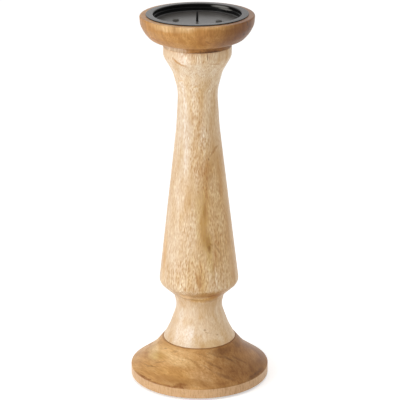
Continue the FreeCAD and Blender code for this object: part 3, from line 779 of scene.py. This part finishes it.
def makeBase():
    size = baseSizes
    bottom, top = baseLow.z, baseHigh.z
    ceiling = bottom + size["counterboreDepth"]
    mortiseFloor = top - size["mortiseDepth"]
    bandTop = bottom + size["bandHeight"]
    return turnOutline([
        (size["holeRadius"], ceiling, 0),
        (size["counterboreRadius"], ceiling, 0),
        (size["counterboreRadius"], bottom, size["edgeEase"]),
        (baseHigh.x, bottom, size["floorRound"]),
        (baseHigh.x, bandTop, size["bandRound"]),
        (size["coveRadius"], bandTop + size["coneRise"], size["coveRound"]),
        (size["topRadius"], top, size["topRound"]),
        (size["mortiseRadius"], top, size["edgeEase"]),
        (size["mortiseRadius"], mortiseFloor, 0),
        (size["holeRadius"], mortiseFloor, 0),
        (size["holeRadius"], ceiling, 0),
    ])


columnSizes = {
    "footRadius": 31.2, "footEdge": 0.4, "flareRadius": 25.6, "flareRound": 60.0,
    "waistRadius": 19.0, "waistRound": 18.0, "collarRadius": 21.8, "collarRound": 1.0,
    "shoulderRadius": 34.2, "shoulderRound": 6.8, "shaftTopRadius": 18.2, "shaftTopRound": 113.0,
    "throatRadius": 16.3, "throatRound": 41.8, "sweepRadius": 20.8, "sweepRound": 19.3,
    "headRadius": 28.5, "headRound": 9.0, "headEdge": 0.7,
    "flareLength": 10.5, "waistLength": 18.8, "collarLength": 11.0, "shoulderRise": 11.3,
    "shaftLength": 137.6, "throatLength": 30.6, "sweepLength": 17.2, "headRise": 13.4,
    "footTenonRadius": 12.0, "headTenonRadius": 10.0, "tenonBevel": 0.6,
    "lowerPilotRadius": 2.6, "lowerPilotTop": 67.9, "upperPilotRadius": 2.3, "upperPilotBottom": 267.5,
}


def makeColumn():
    size = columnSizes
    foot, head = baseHigh.z, cupLow.z
    bottom, top = columnLow.z, columnHigh.z
    bevel = size["tenonBevel"]
    flareLevel = foot + size["flareLength"]
    waistLevel = flareLevel + size["waistLength"]
    collarLevel = waistLevel + size["collarLength"]
    shoulderLevel = collarLevel + size["shoulderRise"]
    shaftLevel = shoulderLevel + size["shaftLength"]
    throatLevel = shaftLevel + size["throatLength"]
    sweepLevel = throatLevel + size["sweepLength"]
    return turnOutline([
        (0, size["lowerPilotTop"], 0),
        (size["lowerPilotRadius"], size["lowerPilotTop"], 0),
        (size["lowerPilotRadius"], bottom, 0),
        (size["footTenonRadius"] - bevel, bottom, 0),
        (size["footTenonRadius"], bottom + bevel, 0),
        (size["footTenonRadius"], foot, 0),
        (size["footRadius"], foot, size["footEdge"]),
        (size["flareRadius"], flareLevel, size["flareRound"]),
        (size["waistRadius"], waistLevel, size["waistRound"]),
        (size["collarRadius"], collarLevel, size["collarRound"]),
        (size["shoulderRadius"], shoulderLevel, size["shoulderRound"]),
        (size["shaftTopRadius"], shaftLevel, size["shaftTopRound"]),
        (size["throatRadius"], throatLevel, size["throatRound"]),
        (size["sweepRadius"], sweepLevel, size["sweepRound"]),
        (size["headRadius"], sweepLevel + size["headRise"], size["headRound"]),
        (size["headRadius"], head, size["headEdge"]),
        (size["headTenonRadius"], head, 0),
        (size["headTenonRadius"], top - bevel, 0),
        (size["headTenonRadius"] - bevel, top, 0),
        (size["upperPilotRadius"], top, 0),
        (size["upperPilotRadius"], size["upperPilotBottom"], 0),
        (0, size["upperPilotBottom"], 0),
    ])


cupSizes = {
    "footRadius": 28.5, "footHeight": 3.6, "footBottomRound": 0.5, "footTopRound": 0.8,
    "coveRadius": 27.3, "coveRise": 1.35, "coveRound": 0.9,
    "bellyRadius": 37.7, "bellyRound": 9.8,
    "turnRadius": 43.75, "turnRise": 6.95, "turnRound": 18.9,
    "sideRadius": 47.1, "sideRise": 6.25, "sideRound": 11.3, "lipRound": 1.5,
    "recessRadius": 37.4, "recessEase": 0.6, "recessDepth": 6.6,
    "pocketRadius": 9.0, "pocketDepth": 6.9,
    "mortiseRadius": 10.1, "mortiseDepth": 6.5, "holeRadius": 2.3, "pilotRadius": 1.5, "pilotDepth": 8.6,
}


def makeCup():
    size = cupSizes
    bottom, top = cupLow.z, cupHigh.z
    footLevel = bottom + size["footHeight"]
    bellyLevel = footLevel + size["coveRise"]
    turnLevel = bellyLevel + size["turnRise"]
    recessFloor = top - size["recessDepth"]
    pocketFloor = recessFloor - size["pocketDepth"]
    mouthRadius = size["recessRadius"] + size["recessEase"]
    return turnOutline([
        (size["holeRadius"], bottom + size["mortiseDepth"], 0),
        (size["mortiseRadius"], bottom + size["mortiseDepth"], 0),
        (size["mortiseRadius"], bottom, 0),
        (size["footRadius"], bottom, size["footBottomRound"]),
        (size["footRadius"], footLevel, size["footTopRound"]),
        (size["coveRadius"], bellyLevel, size["coveRound"]),
        (size["bellyRadius"], bellyLevel, size["bellyRound"]),
        (size["turnRadius"], turnLevel, size["turnRound"]),
        (size["sideRadius"], turnLevel + size["sideRise"], size["sideRound"]),
        (cupHigh.x, top, size["lipRound"]),
        (mouthRadius, top, 0),
        (size["recessRadius"], top - size["recessEase"], 0),
        (size["recessRadius"], recessFloor, 0),
        (size["pocketRadius"], recessFloor, 0),
        (size["pocketRadius"], pocketFloor, 0),
        (size["holeRadius"], pocketFloor, 0),
        (size["holeRadius"], bottom + size["mortiseDepth"], 0),
    ])


dishSizes = {
    "sheet": 0.8, "mouthRadius": 36.5, "mouthRound": 0.9, "stepDepth": 3.2, "stepWidth": 0.6,
    "stepRound": 0.28, "depth": 6.5, "floorRound": 1.0, "edgeRound": 0.25, "hemRound": 0.2,
    "holeRadius": 0.9, "screwRing": 17.9, "screwTurn": math.radians(-8.4), "screwHoleRadius": 1.5,
    "screwHoleDepth": 1.6, "drillRun": 1,
}


def makeDish():
    size = dishSizes
    top = dishHigh.z
    sheet = size["sheet"]
    floor = top - size["depth"]
    step = top - size["stepDepth"]
    wall = size["mouthRadius"] - size["stepWidth"]
    return turnOutline([
        (size["holeRadius"], floor, 0),
        (wall, floor, size["floorRound"]),
        (wall, step, size["stepRound"]),
        (size["mouthRadius"], step, size["stepRound"]),
        (size["mouthRadius"], top, size["mouthRound"]),
        (dishHigh.x, top, size["edgeRound"]),
        (dishHigh.x, top - sheet, size["hemRound"]),
        (size["mouthRadius"] + sheet, top - sheet, 0),
        (size["mouthRadius"] + sheet, step - sheet, 0),
        (wall + sheet, step - sheet, 0),
        (wall + sheet, floor - sheet, size["floorRound"] + sheet),
        (size["holeRadius"], floor - sheet, 0),
        (size["holeRadius"], floor, 0),
    ])


def drillForScrews(piece, floor, depth, radius):  # two holes down from a floor, from drillRun over it
    bm = bmesh.new()
    ring = dishSizes["screwRing"]
    bottom, top = floor - depth, floor + dishSizes["drillRun"]
    for turn in (dishSizes["screwTurn"], dishSizes["screwTurn"] + math.pi):
        middle = Vector((ring * math.cos(turn), ring * math.sin(turn), (bottom + top) / 2))
        bmesh.ops.create_cone(bm, cap_ends=True, segments=latheDetail["thinAround"], radius1=radius,
                              radius2=radius, depth=top - bottom, matrix=Matrix.Translation(middle))
    closeShell(bm)
    carve(piece, bm)


spikeSizes = {
    "radius": 1.05, "taperShare": 0.72, "pointLength": 2.4, "tipRadius": 0.12, "tipRound": 0.1,
    "shankRadius": 0.8, "rivetRadius": 1.7, "rivetHeight": 0.9,
}


def makeSpike():
    size = spikeSizes
    bottom, top = spikeLow.z, spikeHigh.z
    floor = dishHigh.z - dishSizes["depth"]
    seat = bottom + size["rivetHeight"]
    return turnOutline([
        (0, bottom, 0),
        (size["rivetRadius"], bottom, size["rivetHeight"] / 2),
        (size["rivetRadius"], seat, 0),
        (size["shankRadius"], seat, 0),
        (size["shankRadius"], floor, 0),
        (size["radius"], floor, 0),
        (size["radius"] * size["taperShare"], top - size["pointLength"], size["pointLength"]),
        (size["tipRadius"], top, size["tipRound"]),
        (0, top, 0),
    ], around=latheDetail["thinAround"])


base = meshObject("turned_base", makeBase())
seatPiece(base, "base", baseWood)
column = meshObject("turned_column", makeColumn())
seatPiece(column, "column", paleWood)
cup = meshObject("turned_cup", makeCup())
recessFloor = cupHigh.z - cupSizes["recessDepth"]
drillForScrews(cup, recessFloor, cupSizes["pilotDepth"], cupSizes["pilotRadius"])
seatPiece(cup, "cup", cupWood)
dish = meshObject("pressed_dish", makeDish())
dishFloor = dishHigh.z - dishSizes["depth"]
drillForScrews(dish, dishFloor, dishSizes["screwHoleDepth"], dishSizes["screwHoleRadius"])
seatPiece(dish, "dish", blackCoat)
spike = meshObject("turned_spike", makeSpike())
seatPiece(spike, "spike", oxide)

# Nodes whose own shapes stay, and the finish that each one gets
keptNodes = {
    "floor_pads": foam, "base_washer": zinc, "base_screw": zinc, "cup_washer": zinc, "cup_screw": zinc,
    "spike_washer": zinc, "dish_screws": rubbedOxide,
}
for node, material in keptNodes.items():
    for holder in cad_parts[node].material_slots:
        holder.material = material
print("pieces ready")

floorSizes = {"width": 9000, "tone": 0.86, "lift": 0.5}


def makeFloor():
    bm = bmesh.new()
    bmesh.ops.create_grid(bm, x_segments=4, y_segments=4, size=floorSizes["width"] / 2)
    floor = meshObject("floor", bm)
    material = bpy.data.materials.new("white floor")
    material.use_nodes = True
    finish = Finish(material.node_tree)
    tone = floorSizes["tone"]
    plain = finish.add("ShaderNodeBsdfDiffuse", {}, {"Color": (tone, tone, tone, 1)})
    lift = seen(finish) * floorSizes["lift"]
    glow = finish.add("ShaderNodeEmission", {}, {"Color": (1, 1, 1, 1), "Strength": lift})
    both = finish.add("ShaderNodeAddShader", {}, {0: plain, 1: glow})
    finish.add("ShaderNodeOutputMaterial", {}, {"Surface": both})
    floor.data.materials.append(material)


def seen(finish):                                 # 1 where the camera looks, straight or by reflection
    path = finish.add("ShaderNodeLightPath", {}, {}, "Is Camera Ray")
    return finish.limit(path + path.output("Is Glossy Ray") + path.output("Is Transmission Ray"))


def makeWorld(ambient):
    world = bpy.data.worlds.new("studio")
    bpy.context.scene.world = world
    world.use_nodes = True
    finish = Finish(world.node_tree)
    strength = ambient + seen(finish) * (1 - ambient)
    back = finish.add("ShaderNodeBackground", {}, {"Color": (1, 1, 1, 1), "Strength": strength})
    finish.add("ShaderNodeOutputWorld", {}, {"Surface": back})


worldAmbient = 0.6                                # the world's light on the object, where 1 is white
lampTarget = Vector((0, 0, 0.16))                 # the middle of the stand, in metres

# Lamps: distance and height in metres, degrees from the camera's side, box width and height, watts
lampSizes = {
    "key": {"away": 1.75, "side": -48, "height": 1.15, "box": (0.9, 0.9), "power": 6.5},
    "strip": {"away": 1.15, "side": -62, "height": 0.55, "box": (0.3, 1.0), "power": 3.8},
    "overhead": {"away": 0.7, "side": 10, "height": 2.1, "box": (1.2, 1.2), "power": 3},
}


def makeLamp(name, size):
    lamp = bpy.data.lights.new(name, "AREA")
    lamp.shape = "RECTANGLE"
    lamp.size, lamp.size_y = size["box"]
    lamp.energy = size["power"]
    holder = bpy.data.objects.new(name, lamp)
    bpy.context.scene.collection.objects.link(holder)
    side = math.radians(size["side"])
    place = Vector((size["away"] * math.sin(side), -size["away"] * math.cos(side), size["height"]))
    toTarget = lampTarget - place
    facing = toTarget.to_track_quat("-Z", "Y").to_matrix().to_4x4()
    holder.matrix_world = Matrix.Translation(place) @ facing


makeFloor()
makeWorld(worldAmbient)
for lampName, lampSize in lampSizes.items():
    makeLamp(lampName, lampSize)

cameraSizes = {
    "back": 1.55236, "height": 0.68429,           # metres from the stand's axis and above the floor
    "aim": (0.0013, 0, 0.1591),                   # the point that the picture's middle shows
    "roll": -0.3736, "lens": 173.93, "sensor": 36.0,
}


def makeCamera():
    size = cameraSizes
    camera = bpy.data.cameras.new("camera")
    camera.lens = size["lens"]
    camera.sensor_width = size["sensor"]
    camera.sensor_fit = "HORIZONTAL"
    holder = bpy.data.objects.new("camera", camera)
    bpy.context.scene.collection.objects.link(holder)
    stand = Vector((0, -size["back"], size["height"]))
    look = (Vector(size["aim"]) - stand).to_track_quat("-Z", "Y").to_matrix().to_4x4()
    roll = Matrix.Rotation(math.radians(size["roll"]), 4, "Z")
    holder.matrix_world = Matrix.Translation(stand) @ look @ roll
    bpy.context.scene.camera = holder


makeCamera()
bpy.context.scene.view_settings.view_transform = "Standard"
print("stage ready")

bpy.context.view_layer.update()
